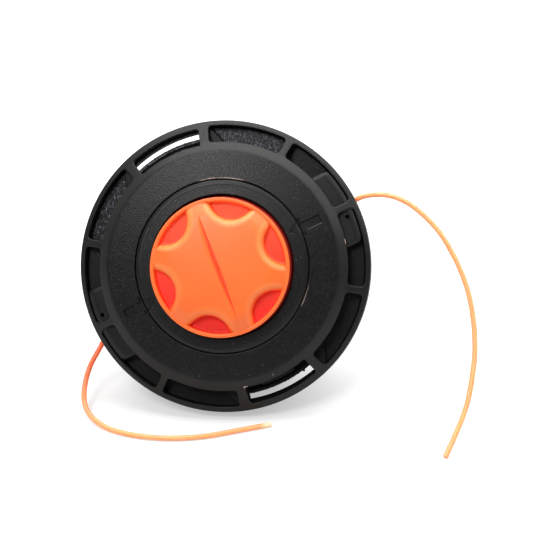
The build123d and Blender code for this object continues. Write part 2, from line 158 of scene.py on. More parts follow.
def larger(tree, first, second):
    return maths(tree, "MAXIMUM", first, second)


def blend_colours(tree, share, first, second, mode="MIX"):
    node = add(tree, "ShaderNodeMix", data_type="RGBA", blend_type=mode)
    for socket, value in ((node.inputs["Factor"], share), (node.inputs[6], first), (node.inputs[7], second)):
        feed(tree, socket, value)
    return node.outputs[2]


def spread(tree, value, low, high, to_low=0.0, to_high=1.0):
    node = add(tree, "ShaderNodeMapRange", clamp=True, interpolation_type="SMOOTHSTEP")
    wire(tree, value, node.inputs["Value"])
    for label, number in (("From Min", low), ("From Max", high), ("To Min", to_low), ("To Max", to_high)):
        feed(tree, node.inputs[label], number)
    return node.outputs["Result"]


def near(tree, value, middle, full, none):
    """1 close to a middle value, falling to 0 further away."""
    return spread(tree, maths(tree, "ABSOLUTE", maths(tree, "SUBTRACT", value, middle)), full, none, 1.0, 0.0)


# %% [markdown]
# The first group tells a material where it is on the head: how far from the spin axis,
# how far forward along it, and at which angle round it, as seen from the knob's side.

# %% Group: place on the head
place_group, _, place_out = new_group("Place on the head", [], ["Radius mm", "Height mm", "Angle"])
where = add(place_group, "ShaderNodeTexCoord")
from_axis = add(place_group, "ShaderNodeVectorMath", operation="SUBTRACT")
wire(place_group, where.outputs["Object"], from_axis.inputs[0])
from_axis.inputs[1].default_value = axis_point


def along(direction):
    node = add(place_group, "ShaderNodeVectorMath", operation="DOT_PRODUCT")
    wire(place_group, from_axis.outputs[0], node.inputs[0])
    node.inputs[1].default_value = direction / MM
    return node.outputs["Value"]


side_mm, up_mm = along(across), along(upward)
squares = [maths(place_group, "POWER", distance, 2.0) for distance in (side_mm, up_mm)]
square = maths(place_group, "ADD", *squares)
wire(place_group, maths(place_group, "SQRT", square), place_out.inputs["Radius mm"])
wire(place_group, along(axis), place_out.inputs["Height mm"])
turn = maths(place_group, "ARCTAN2", up_mm, side_mm)
wire(place_group, maths(place_group, "DEGREES", turn), place_out.inputs["Angle"])
print("group", place_group.name, "with", len(place_group.nodes), "nodes")

# %% [markdown]
# Glass-filled nylon leaves the mould with a fine grain like sandpaper: dense dark and
# light dots well under a millimetre, and here and there a fibre end as a pale speck.
# One noise makes the grain, its highest tops the dense dots, a cell pattern the specks,
# and a wide soft noise the cloudiness that every large moulding has.

# %% Group: moulded grain
grain_group, grain_in, grain_out = new_group(
    "Moulded grain",
    [("Grain per metre", 1900.0), ("Speck share", 0.05)],
    ["Height", "Dots", "Specks", "Cloud"],
)
where = add(grain_group, "ShaderNodeTexCoord")


def noise_field(tree, scale, detail, roughness=0.6):
    node = add(tree, "ShaderNodeTexNoise")
    wire(tree, where.outputs["Object"], node.inputs["Vector"])
    feed(tree, node.inputs["Scale"], scale)
    node.inputs["Detail"].default_value = detail
    node.inputs["Roughness"].default_value = roughness
    return node.outputs["Fac"]


fine = noise_field(grain_group, grain_in.outputs["Grain per metre"], 2.0)
cells = add(grain_group, "ShaderNodeTexVoronoi")
wire(grain_group, where.outputs["Object"], cells.inputs["Vector"])
cells.inputs["Scale"].default_value = 1500.0
picked = add(grain_group, "ShaderNodeSeparateColor")
wire(grain_group, cells.outputs["Color"], picked.inputs["Color"])
chosen = maths(grain_group, "LESS_THAN", picked.outputs["Red"], grain_in.outputs["Speck share"])
dot = spread(grain_group, cells.outputs["Distance"], 0.1, 0.42, 1.0, 0.0)
speck = times(grain_group, dot, chosen, picked.outputs["Green"])
wire(grain_group, fine, grain_out.inputs["Height"])
wire(grain_group, spread(grain_group, fine, 0.5, 0.72), grain_out.inputs["Dots"])
wire(grain_group, speck, grain_out.inputs["Specks"])
wire(grain_group, noise_field(grain_group, 70.0, 4.0), grain_out.inputs["Cloud"])
print("group", grain_group.name, "with", len(grain_group.nodes), "nodes")


# %% [markdown]
# Each material keeps its own shader and places the shared groups in front of it.

# %% Helpers for materials
def new_material(name):
    material = bpy.data.materials.new(name)
    material.use_nodes = True
    tree = material.node_tree
    return material, tree, tree.nodes["Principled BSDF"]


def use_group(tree, group, **values):
    node = add(tree, "ShaderNodeGroup", node_tree=group)
    for label, value in values.items():
        node.inputs[label.replace("_", " ")].default_value = value
    return node


Place = namedtuple("Place", "radius height angle")


def place_on_head(tree):
    return Place(*use_group(tree, place_group).outputs)


def beside_spoke(tree, place, angle):
    """Distance from the spoke at an angle, in millimetres, positive on its left."""
    turned = maths(tree, "RADIANS", maths(tree, "SUBTRACT", place.angle, angle))
    return times(tree, place.radius, maths(tree, "SINE", turned))


def bump(tree, shader, height, strength, distance):
    node = add(tree, "ShaderNodeBump")
    feed(tree, node.inputs["Strength"], strength)
    node.inputs["Distance"].default_value = distance
    wire(tree, height, node.inputs["Height"])
    wire(tree, node.outputs["Normal"], shader.inputs["Normal"])


# %% [markdown]
# All the black pieces are one plastic with two skins: a sandblasted skin with a dense speckle, and a smooth
# satin skin that catches more light. Which skin is where differs from piece to piece, so each piece gives its
# own mask of the rough skin, and its own mask of pale marks: real chips, streaks and specks, and on some
# pieces painted highlight.

# %% Black nylon
SATIN_BLACK = (0.008, 0.008, 0.0078, 1.0)
ROUGH_BLACK = (0.004, 0.0039, 0.0044, 1.0)
DOT_GREY = (0.0225, 0.0218, 0.0262, 1.0)
SPECK_GREY = (0.16, 0.16, 0.17, 1.0)
# Pale for the cover's real chips, also used for painted highlight on its edges.
PALE_GLINT_AND_CHIP = (0.62, 0.47, 0.4, 1.0)
# Pale for the deck's sparked streaks and the collar's specks; on the deck it also carries painted highlight.
PALE_GRAIN_AND_HIGHLIGHT = (0.3, 0.3, 0.36, 1.0)


def black_nylon(
    name, rough_mask, marks_and_highlights_mask=None, marks_and_highlights=PALE_GLINT_AND_CHIP, grain_per_metre=1900.0, speck_share=0.02, gloss=0.3
):
    material, tree, shader = new_material(name)
    place = place_on_head(tree)
    grain = use_group(tree, grain_group, Grain_per_metre=grain_per_metre, Speck_share=speck_share)
    rough = rough_mask(tree, place)
    cloud = spread(tree, grain.outputs["Cloud"], 0.3, 0.7, 0.8, 1.2)
    base = blend_colours(tree, rough, SATIN_BLACK, ROUGH_BLACK)
    base = blend_colours(tree, 1.0, base, cloud, "MULTIPLY")
    dots = times(tree, grain.outputs["Dots"], rough, 0.7)
    base = blend_colours(tree, dots, base, DOT_GREY)
    specks = times(tree, grain.outputs["Specks"], spread(tree, rough, 0.0, 1.0, 0.12, 1.0))
    base = blend_colours(tree, specks, base, SPECK_GREY)
    # Pale marks, partly real chips and streaks, partly painted highlight, as each piece's mask says.
    if marks_and_highlights_mask:
        base = blend_colours(tree, marks_and_highlights_mask(tree, place, grain), base, marks_and_highlights)
    wire(tree, base, shader.inputs["Base Color"])
    skin = spread(tree, rough, 0.0, 1.0, 0.42, 0.4)
    uneven = spread(tree, grain.outputs["Height"], 0.3, 0.7, -0.05, 0.05)
    wire(tree, maths(tree, "ADD", skin, uneven), shader.inputs["Roughness"])
    shader.inputs["Specular IOR Level"].default_value = gloss
    relief = times(tree, grain.outputs["Height"], spread(tree, rough, 0.0, 1.0, 0.08, 1.0))
    bump(tree, shader, relief, 0.5, 0.00025)
    return material


FACE_EDGE_AT = 51.3
LATCH_ANGLES = (118.5, -61.5)


def cover_rough(tree, place):
    """The cover's flat face is rough; its sloping rim and its walls are satin."""
    return spread(tree, place.radius, FACE_EDGE_AT - 0.7, FACE_EDGE_AT + 0.5, 1.0, 0.0)


# The right arrow mark lies at this angle.
MARK_ANGLE = 27.7
# Small pale chips on the edges of windows: radius, angle, half length in degrees, strength
CHIPS = ((54.4, -77.4, 1.3, 0.9), (55.6, 13.2, 1.4, 0.8), (52.7, -63.0, 0.5, 0.2))


def cover_glints_and_chips(tree, place, grain):
    """Painted highlight: a pale glint along the opening's edge at the top and at one side, and a pale line on
    the lower edge of one arrow mark; also small pale chips on window edges.
    """
    # Painted highlight: a pale glint along the opening's edge, at the top and at one side.
    edge = near(tree, place.radius, 39.0, 0.12, 0.32)
    top = near(tree, place.angle, 91.0, 10.0, 17.0)
    side = near(tree, place.angle, -17.0, 5.0, 9.0)
    arcs = larger(tree, top, times(tree, side, 0.4))
    patchy = spread(tree, grain.outputs["Cloud"], 0.36, 0.52)
    glints_and_chips = times(tree, edge, arcs, patchy)
    # Painted highlight on the lower edge of one arrow mark, the edge that faces up.
    strip = near(tree, beside_spoke(tree, place, MARK_ANGLE), -2.0, 0.1, 0.32)
    length = near(tree, place.radius, 44.6, 3.4, 3.9)
    here = near(tree, place.angle, MARK_ANGLE, 8.0, 9.0)
    glints_and_chips = larger(tree, glints_and_chips, times(tree, strip, length, here, 0.1))
    front = spread(tree, place.height, 11.6, 12.4)
    for radius, angle, reach, strength in CHIPS:
        width = near(tree, place.radius, radius, 0.25, 0.5)
        length = near(tree, place.angle, angle, 0.5 * reach, reach)
        glints_and_chips = larger(tree, glints_and_chips, times(tree, width, length, front, strength))
    return glints_and_chips


def housing_rough(tree, place):
    """The deck behind the windows and the two latch bridges are rough; pads and ears are satin."""
    deck = near(tree, place.height, 4.0, 0.15, 0.4)
    outside = spread(tree, place.radius, 54.8, 55.2)
    # Painted shade: the deck's rough, dotted skin weakens away from the upper windows.
    upper = near(tree, place.angle, 115.0, 60.0, 75.0)
    deck = times(tree, deck, outside, spread(tree, upper, 0.0, 1.0, 0.35, 1.0))
    bridge = near(tree, place.radius, 58.1, 0.85, 1.1)
    bridge = times(tree, bridge, spread(tree, place.height, 2.0, 3.5))
    for angle in LATCH_ANGLES:
        at_latch = near(tree, place.angle, angle, 15.2, 15.8)
        deck = larger(tree, deck, times(tree, bridge, at_latch))
    return deck


def housing_streaks_and_highlight(tree, place, grain):
    """Pale streaks of the sparked mould skin on the deck, made paler and denser in the top window, on the
    upper bridge and at the upper left, which is painted highlight.
    """
    deck = housing_rough(tree, place)
    streak = add(tree, "ShaderNodeTexNoise")
    stretch = add(tree, "ShaderNodeMapping")
    spot = add(tree, "ShaderNodeTexCoord")
    wire(tree, spot.outputs["Object"], stretch.inputs["Vector"])
    stretch.inputs["Scale"].default_value = (2300.0, 800.0, 800.0)
    wire(tree, stretch.outputs["Vector"], streak.inputs["Vector"])
    streak.inputs["Scale"].default_value = 1.0
    streak.inputs["Detail"].default_value = 2.0
    # Painted highlight: paler, denser streaks in the top window, on the upper bridge and at the upper left.
    top = near(tree, place.angle, 82.0, 14.0, 17.0)
    bridge = near(tree, place.radius, 58.0, 1.0, 1.4)
    bridge = times(tree, bridge, near(tree, place.angle, LATCH_ANGLES[0], 15.2, 15.8))
    top = larger(tree, top, bridge)
    left = near(tree, place.angle, 153.0, 14.0, 20.0)
    limit = maths(tree, "SUBTRACT", 0.68, times(tree, top, 0.17))
    limit = maths(tree, "SUBTRACT", limit, times(tree, left, 0.13))
    cut = times(tree, maths(tree, "SUBTRACT", streak.outputs["Fac"], limit), 6.0)
    cut = maths(tree, "MINIMUM", larger(tree, cut, times(tree, top, 0.04)), 0.5)
    return times(tree, cut, deck)


def collar_rough(tree, place):
    """The collar's inner slope is rough; its rounded outer edge is satin."""
    return spread(tree, place.radius, 35.6, 36.6, 0.8, 0.1)


def collar_top_specks(tree, place, grain):
    """Paler specks along a short stretch of the collar's inner edge at the top."""
    inner = near(tree, place.radius, 32.6, 0.8, 2.2)
    top = near(tree, place.angle, 88.0, 7.0, 14.0)
    return times(tree, inner, top, grain.outputs["Dots"], 0.25)


cover_black = black_nylon("cover_black", cover_rough, cover_glints_and_chips, PALE_GLINT_AND_CHIP, 1400.0)
housing_black = black_nylon("housing_black", housing_rough, housing_streaks_and_highlight, PALE_GRAIN_AND_HIGHLIGHT, 1500.0, 0.06, 0.22)
pad_black = black_nylon("pad_black", housing_rough)
collar_black = black_nylon("collar_black", collar_rough, collar_top_specks, PALE_GRAIN_AND_HIGHLIGHT, 2000.0, 0.04)
# Painted shade: a black sheet without sheen, laid where gaps and shadowed deck are.
painted_shade_black = black_nylon("painted_shade_black", cover_rough, gloss=0.0)
print("materials", cover_black.name, housing_black.name, collar_black.name)

# %% [markdown]
# The knob is orange plastic with a satin skin. The dye is see-through enough for light to wander a little
# under the skin. Painted shade makes it redder in the bottoms of the pockets, along the groove and down the
# side wall, and makes the lower pockets darker than the upper ones; painted highlight makes the thin rolled
# edges paler, most on the upper side. The line is dyed alike, with painted shade where it leaves the rim. A
# weak glow, which is painted light, brightens both.

# %% Orange plastic
KNOB_ORANGE = (1.0, 0.178, 0.03, 1.0)
# Painted shade: red for the pocket bottoms and the groove.
POCKET_SHADE_RED = (1.0, 0.055, 0.02, 1.0)
# Painted shade: dark red for the knob's side wall.
WALL_SHADE_RED = (0.33, 0.012, 0.008, 1.0)
# Painted highlight: paler orange for the rolled pocket edges.
EDGE_HIGHLIGHT_ORANGE = (1.0, 0.36, 0.1, 1.0)
# Painted light and shade: the upper pockets lighter, the lower ones darker.
POCKET_LIT_RED = (1.0, 0.115, 0.03, 1.0)
POCKET_SHADE_DARK = (0.86, 0.022, 0.011, 1.0)
LINE_ORANGE = (0.96, 0.43, 0.185, 1.0)
# Painted shade: red for the line where it leaves the rim.
LINE_SHADE_RED = (1.0, 0.1, 0.03, 1.0)
LINE_PALE = (1.0, 0.75, 0.5, 1.0)
TIP_RADIUS, TIP_ANGLE = 73.6, -71.6


def orange_plastic(name, colour, shade_colour, shade_mask, rough, wander, reach, glow, accents=()):
    material, tree, shader = new_material(name)
    place = place_on_head(tree)
    grain = use_group(tree, grain_group, Grain_per_metre=1500.0, Speck_share=0.0)
    tone = spread(tree, grain.outputs["Cloud"], 0.3, 0.7)
    cooler = (colour[0], colour[1] * 0.93, colour[2] * 0.88, 1.0)
    base = blend_colours(tree, tone, colour, cooler)
    base = blend_colours(tree, shade_mask(tree, place), base, shade_colour)
    for accent_mask, accent in accents:
        base = blend_colours(tree, accent_mask(tree, place), base, accent)
    wire(tree, base, shader.inputs["Base Color"])
    satin = spread(tree, grain.outputs["Height"], 0.3, 0.7, rough - 0.04, rough + 0.04)
    wire(tree, satin, shader.inputs["Roughness"])
    # Painted light: the base colour also glows, on the knob and on the line.
    wire(tree, base, shader.inputs["Emission Color"])
    shader.inputs["Emission Strength"].default_value = glow
    shader.inputs["Subsurface Weight"].default_value = wander
    shader.inputs["Subsurface Radius"].default_value = (1.0, 0.4, 0.15)
    shader.inputs["Subsurface Scale"].default_value = reach
    bump(tree, shader, grain.outputs["Height"], 0.05, 0.0001)
    return material


def below_rims_painted_shade(tree, place):
    """Painted shade: red below the level of the pockets' rims."""
    return spread(tree, place.height, 20.9, 23.0, 1.0, 0.0)


GROOVE_ANGLE, SCALLOP_ANGLE = 112.5, 22.5
SCALLOP_AT, SCALLOP_RADIUS = 30.2, 9.7


def groove_painted_shade(tree, place):
    """Painted shade: redder along the bottom of the groove, a thin tapering strip beside a line across the
    knob.
    """
    away = maths(tree, "SUBTRACT", beside_spoke(tree, place, GROOVE_ANGLE), 0.55)
    width = spread(tree, place.radius, 4.0, 24.0, 1.7, 0.2)
    share = maths(tree, "DIVIDE", maths(tree, "ABSOLUTE", away), width)
    strip = spread(tree, share, 0.2, 1.0, 1.0, 0.0)
    inside = spread(tree, place.radius, 21.5, 24.0, 0.75, 0.0)
    return times(tree, strip, inside)


def knob_painted_shade(tree, place):
    return larger(tree, below_rims_painted_shade(tree, place), groove_painted_shade(tree, place))


def knob_up(tree, place):
    """Height up the knob's face in millimetres, seen from the front."""
    return beside_spoke(tree, place, 0.0)


def knob_edge_highlight(tree, place):
    """Painted highlight: paler along the thin rolled edges of the six pockets, most of all on the upper side.
    """
    turned = maths(tree, "SUBTRACT", place.angle, SCALLOP_ANGLE)
    turned = maths(tree, "RADIANS", maths(tree, "PINGPONG", turned, 30.0))
    along_spoke = times(tree, place.radius, maths(tree, "COSINE", turned))
    beside = times(tree, place.radius, maths(tree, "SINE", turned))
    away = maths(tree, "POWER", maths(tree, "SUBTRACT", along_spoke, SCALLOP_AT), 2.0)
    away = maths(tree, "SQRT", maths(tree, "ADD", away, maths(tree, "POWER", beside, 2.0)))
    edge = near(tree, away, SCALLOP_RADIUS + 1.0, 0.4, 2.6)
    inside = spread(tree, place.radius, 27.8, 28.6, 1.0, 0.0)
    upper = spread(tree, knob_up(tree, place), -18.0, 14.0, 0.18, 0.55)
    return times(tree, edge, inside, upper)


# Painted light: the upper pockets are lighter.
def pockets_painted_light(tree, place):
    return times(tree, below_rims_painted_shade(tree, place), spread(tree, knob_up(tree, place), 0.0, 26.0))


# Painted shade: the lower pockets are darker.
def pockets_painted_shade(tree, place):
    return times(tree, below_rims_painted_shade(tree, place), spread(tree, knob_up(tree, place), 0.0, -26.0))


def wall_painted_shade(tree, place):
    """Painted shade: dark red on the side wall under the lip."""
    outside = spread(tree, place.radius, 29.4, 29.8)
    return times(tree, outside, spread(tree, place.height, 22.3, 23.3, 1.0, 0.0))


def line_painted_shade(tree, place):
    """Painted shade: redder where the line comes out of the shade behind the rim, further along on the left.
    """
    shade = spread(tree, place.radius, 62.0, 70.0, 0.6, 0.0)
    left = spread(tree, place.angle, -153.0, -122.0, 0.9, 0.0)
    return larger(tree, shade, left)


def line_tip(tree, place):
    """Paler at the cut end of the left tail."""
    here = near(tree, place.radius, TIP_RADIUS, 0.8, 4.0)
    return times(tree, here, near(tree, place.angle, TIP_ANGLE, 1.0, 4.0))


# Painted highlight and shade on the knob.
knob_painted_light = (
    (knob_edge_highlight, EDGE_HIGHLIGHT_ORANGE),
    (pockets_painted_light, POCKET_LIT_RED),
    (pockets_painted_shade, POCKET_SHADE_DARK),
    (wall_painted_shade, WALL_SHADE_RED),
)
knob_orange = orange_plastic(
    "knob_orange", KNOB_ORANGE, POCKET_SHADE_RED, knob_painted_shade,
    rough=0.42, wander=0.15, reach=0.0012, glow=0.08, accents=knob_painted_light,
)
line_orange = orange_plastic(
    "line_orange", LINE_ORANGE, LINE_SHADE_RED, line_painted_shade,
    rough=0.32, wander=0.9, reach=0.002, glow=0.24, accents=((line_tip, LINE_PALE),),
)
print("materials", knob_orange.name, line_orange.name)


# %% [markdown]
# The eyelets and the arbor nut are zinc-plated steel, the spring is drawn wire. Plating
# is cloudy and slightly dull, so colour and roughness both follow the cloud noise.

# %% Plated steel
def plated_steel(name, colour, rough):
    material, tree, shader = new_material(name)
    grain = use_group(tree, grain_group, Grain_per_metre=900.0, Speck_share=0.05)
    duller = tuple(c * 0.72 for c in colour[:3]) + (1.0,)
    wire(tree, blend_colours(tree, grain.outputs["Cloud"], duller, colour), shader.inputs["Base Color"])
    dull = spread(tree, grain.outputs["Height"], 0.3, 0.7, rough - 0.08, rough + 0.1)
    wire(tree, dull, shader.inputs["Roughness"])
    shader.inputs["Metallic"].default_value = 1.0
    bump(tree, shader, grain.outputs["Height"], 0.06, 0.0001)
    return material


zinc = plated_steel("zinc_plate", (0.62, 0.62, 0.6, 1), 0.34)
spring_steel = plated_steel("spring_steel", (0.42, 0.42, 0.43, 1), 0.3)
print("materials", zinc.name, spring_steel.name)


# %% [markdown]
# The CAD nodes take these materials first. The pieces below then replace the ones whose
# edges and skins need more than a CAD solid has.

# %% Paint the CAD nodes
def dress(material, *names):
    for name in names:
        nodes[name].data.materials.clear()
        nodes[name].data.materials.append(material)


dress(housing_black, "upper_housing")
dress(cover_black, "lower_cover")
dress(collar_black, "spool")
dress(knob_orange, "bump_knob")
dress(line_orange, "wound_line_front", "wound_line_rear", "line_tail_right", "line_tail_left")
dress(zinc, "arbor_nut", "eyelet_right", "eyelet_left")
dress(spring_steel, "compression_spring")
print("dressed", len(nodes), "nodes")


# %% [markdown]
# A piece is drawn as a few nets of four-sided faces about the upright spin axis, in
# millimetres, and carried into place at the end. A net is a list of rows of points. It
# may close on itself along the rows, across them, or both, like the skin of a ring.

# %% Helpers for nets
def add_net(net, rows, close_rows=False, close_columns=True):
    first, width = len(net[0]), len(rows[0])
    for row in rows:
        net[0].extend(row)
    for j in range(len(rows) if close_rows else len(rows) - 1):
        below, above = first + j * width, first + (j + 1) % len(rows) * width
        for k in range(width if close_columns else width - 1):
            after = (k + 1) % width
            net[1].append((below + k, below + after, above + after, above + k))


def at(radius, angle, height):
    return (radius * math.cos(angle), radius * math.sin(angle), height)


def add_turned(net, profile, columns=360):
    """Turns a closed outline of radius and height about the axis."""
    angles = [math.tau * k / columns for k in range(columns)]
    rows = [[at(radius, angle, height) for angle in angles] for radius, height in profile]
    add_net(net, rows, close_rows=True)


def band(inner, outer, back, front):
    """The outline of a plain ring."""
    return [(inner, back), (inner, front), (outer, front), (outer, back)]


def rounded(corners, steps=5):
    """A closed outline whose corners are (radius, height, round)."""
    outline = []
    for k, (x, y, size) in enumerate(corners):
        here = Vector((x, y))
        if not size:
            outline.append((x, y))
            continue
        before = (Vector(corners[k - 1][:2]) - here).normalized()
        after = (Vector(corners[(k + 1) % len(corners)][:2]) - here).normalized()
        half = before.angle(after) / 2
        centre = here + (before + after).normalized() * (size / math.sin(half))
        start = here + before * (size / math.tan(half)) - centre
        end = here + after * (size / math.tan(half)) - centre
        sweep = math.pi - 2 * half
        for i in range(steps + 1):
            share = i / steps
            spoke = (start * math.sin((1 - share) * sweep) + end * math.sin(share * sweep)) / math.sin(sweep)
            outline.append(tuple(centre + spoke))
    return outline


def make_piece(name, net, material, body, node, sharp=40.0, turn=0.0):
    mesh = bpy.data.meshes.new(name)
    place = head_place @ Matrix.Rotation(math.radians(turn), 4, "Z")
    mesh.from_pydata([place @ (Vector(point) * MM) for point in net[0]], [], net[1])
    work = bmesh.new()
    work.from_mesh(mesh)
    bmesh.ops.remove_doubles(work, verts=work.verts, dist=0.002 * MM)
    bmesh.ops.recalc_face_normals(work, faces=work.faces)
    work.to_mesh(mesh)
    work.free()
    mesh.shade_smooth()
    mesh.set_sharp_from_angle(angle=math.radians(sharp))
    mesh.materials.append(material)
    piece = bpy.data.objects.new(name, mesh)
    scene.collection.objects.link(piece)
    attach(piece, body)
    if node:
        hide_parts(node)
    print("piece", name, "with", len(mesh.polygons), "faces")
    return piece


def spaced(low, high, step):
    count = max(1, round((high - low) / step))
    return [low + (high - low) * k / count for k in range(count)]


def ease(value, low, high):
    share = min(1.0, max(0.0, (value - low) / (high - low)))
    return share * share * (3 - 2 * share)


def soft_min(first, second, softness):
    low = min(first, second)
    return low - softness * math.log(math.exp((low - first) / softness) + math.exp((low - second) / softness))


# %% [markdown]
# The cover is the black front: a nearly flat face round the knob's collar, then a cone
# that falls away to the rim, with ten windows in it. Its main sizes are read from the CAD
# node, and the rest follow from them. In the photograph every window has a soft rolled
# edge, which a CAD cut lacks, so the cover is drawn again with those rolls.

# %% Sizes of the cover
back_to_head = head_place.inverted()


def extent(node):
    """Least and greatest radius, then least and greatest height, of a CAD node about the axis."""
    to_head = back_to_head @ nodes[node].matrix_world
    places = [to_head @ corner.co for corner in nodes[node].data.vertices]
    radii = [math.hypot(place.x, place.y) / MM for place in places]
    heights = [place.z / MM for place in places]
    return min(radii), max(radii), min(heights), max(heights)


OPENING, RIM_BACK, FINGER_BACK, FACE_TOP = extent("lower_cover")
RIM = RIM_BACK - 0.6
WINDOW_OUTER = RIM - 2.4
WINDOW_INNER = WINDOW_OUTER - 7.7
WALL_OUTER = WINDOW_INNER - 0.6
WALL_INNER = WALL_OUTER - 2.4
FACE_EDGE = WINDOW_INNER - 4.2
OPENING_ROUND = 0.5
FACE_SLOPE = 0.102
FACE_THICKNESS = 2.6
CONE_DROP = 2.9
RING_DROP = 5.3
RING_THICKNESS = 2.2
FACE_LOW = FACE_TOP - FACE_SLOPE * (FACE_EDGE - OPENING - OPENING_ROUND)
RING_FRONT = FACE_LOW - CONE_DROP
DISC_EDGE = WINDOW_INNER - 1.9
FRAME_EDGE = RIM - 1.2
print("rim", round(RIM_BACK, 2), "opening", round(OPENING, 2))
print("face", round(FACE_TOP, 2), "ring", round(RING_FRONT, 2))


def cover_height(radius):
    """Front of the cover at a radius."""
    face = FACE_TOP - FACE_SLOPE * (radius - OPENING - OPENING_ROUND)
    if radius > WINDOW_INNER:
        return RING_FRONT - RING_DROP * (radius - WINDOW_INNER) / (RIM - WINDOW_INNER)
    cone = RING_FRONT + CONE_DROP * (WINDOW_INNER - radius) / (WINDOW_INNER - FACE_EDGE)
    return soft_min(face, cone, 0.2)


# %% [markdown]
# Two sunk arrow marks point at the knob. Each has its head mostly on the collar and its
# shaft on the cover's face. The face is a net that is finer where the marks are, and the
# marks are pressed into it by the distance from the arrow's outline.

# %% Face of the cover
ARROW_TIP, ARROW_BASE, ARROW_END = 33.1, 39.6, 48.3
ARROW_HALF, SHAFT_HALF = 4.4, 1.9
ARROW_DEPTH = 0.9


def arrow_distance(x, y):
    """Distance from an arrow mark's outline, negative inside."""
    slant = math.hypot(ARROW_BASE - ARROW_TIP, ARROW_HALF)
    side = ((ARROW_BASE - ARROW_TIP) * abs(y) - ARROW_HALF * (x - ARROW_TIP)) / slant
    point = max(side, x - ARROW_BASE)
    shaft = max(abs(y) - SHAFT_HALF, x - ARROW_END, ARROW_TIP - x)
    return min(point, max(shaft, ARROW_BASE - 0.5 - x))


def arrow_drop(x, y):
    return ARROW_DEPTH * (1 - ease(arrow_distance(abs(x), y), -0.22, 0.1))


def face_point(radius, angle):
    x, y, _ = at(radius, angle, 0)
    return (x, y, cover_height(radius) - arrow_drop(x, y))


MARK_REACH = 7.2
face_angles = spaced(-MARK_REACH, MARK_REACH, 0.18) + spaced(MARK_REACH, 180 - MARK_REACH, 1.5)
face_angles = [math.radians(a + half) for half in (0, 180) for a in face_angles]
face_radii = spaced(OPENING + OPENING_ROUND, 49.0, 0.16) + spaced(49.0, DISC_EDGE, 0.3) + [DISC_EDGE]
edge_arc = [math.radians(15 * k) for k in range(6)]
cover_net = ([], [])
disc_rows = [[at(OPENING, angle, FACE_TOP - FACE_THICKNESS) for angle in face_angles]]
for lift in edge_arc:
    radius = OPENING + OPENING_ROUND * (1 - math.cos(lift))
    fall = OPENING_ROUND * (1 - math.sin(lift))
    disc_rows.append([(x, y, z - fall) for x, y, z in (face_point(radius, angle) for angle in face_angles)])
for radius in face_radii:
    disc_rows.append([face_point(radius, angle) for angle in face_angles])
for radius in (DISC_EDGE, FACE_EDGE, OPENING + OPENING_ROUND):
    disc_rows.append([at(radius, angle, cover_height(radius) - FACE_THICKNESS) for angle in face_angles])
add_net(cover_net, disc_rows, close_rows=True)
print("face net", len(disc_rows), "rows of", len(face_angles))

# %% [markdown]
# Each window sits in a tenth of the ring. The net of one tenth is a set of loops: the
# innermost follows the rounded window, the next ones climb its rolled edge, and the last
# is the outline of the tenth itself, so that neighbours meet without a gap. The two
# windows over the latches are a little shorter and deeper, with sharp inner corners.

# %% Ring of windows
MID_RADIUS = (WINDOW_INNER + WINDOW_OUTER) / 2
TENTH_HALF = math.radians(18) * MID_RADIUS
# Half width in degrees, how much deeper and lower, inner and outer corners, rolled edge
PLAIN_WINDOW = (16.4, 0.0, 0.0, (1.6, 1.6), 0.6)
LATCH_WINDOW = (15.4, 1.1, 0.6, (0.3, 1.4), 0.35)
CORNER_STEPS, LONG_STEPS, SHORT_STEPS = 8, 26, 5


def fill_loop(corner_runs):
    """Joins four runs of corner points with evenly spaced points between them."""
    loop = []
    for k, run in enumerate(corner_runs):
        loop.extend(run)
        start, end = Vector(run[-1]), Vector(corner_runs[(k + 1) % 4][0])
        count = SHORT_STEPS if k % 2 == 0 else LONG_STEPS
        loop.extend(tuple(start.lerp(end, i / count)) for i in range(1, count))
    return loop


def window_loop(reach, low, high, corners, grow):
    runs = []
    for k, (side, top, corner) in enumerate(((1, 0, 0), (1, 1, 1), (-1, 1, 1), (-1, 0, 0))):
        size = corners[corner] + grow
        x = side * (reach + grow - size)
        y = high + grow - size if top else low - grow + size
        angles = [math.radians(90 * (k - 1) + 90 * i / CORNER_STEPS) for i in range(CORNER_STEPS + 1)]
        runs.append([(x + size * math.cos(a), y + size * math.sin(a)) for a in angles])
    return fill_loop(runs)


def tenth_loop():
    low, high = DISC_EDGE, FRAME_EDGE
    inset_x, inset_y = 2.0, 1.6
    ends = [(TENTH_HALF, low), (TENTH_HALF, high), (-TENTH_HALF, high), (-TENTH_HALF, low)]
    runs = []
    for k, (x, y) in enumerate(ends):
        inward_x = (x - math.copysign(inset_x, x), y)
        inward_y = (x, y + inset_y if y == low else y - inset_y)
        first, last = (inward_x, inward_y) if k % 2 == 0 else (inward_y, inward_x)
        half = CORNER_STEPS // 2
        run = [tuple(Vector(first).lerp(Vector((x, y)), i / half)) for i in range(half)]
        run += [tuple(Vector((x, y)).lerp(Vector(last), i / half)) for i in range(half + 1)]
        runs.append(run)
    return fill_loop(runs)


def burr(x, y):
    """Ragged moulding flash on the inner edge of a latch window."""
    large = noise.noise(Vector((0.9 * x + 7, 0, 0)))
    small = noise.noise(Vector((2.7 * x, 5, 0)))
    reach = max(0.0, large) + 0.4 * max(0.0, small)
    return y + 0.7 * reach * (1 - ease(y, WINDOW_INNER - 1.0, WINDOW_INNER - 0.4))


def ring_row(loop, middle, fall, ragged=False):
    loop = [(x, burr(x, y) if ragged else y) for x, y in loop]
    return [at(y, middle + x / MID_RADIUS, cover_height(y) - fall) for x, y in loop]


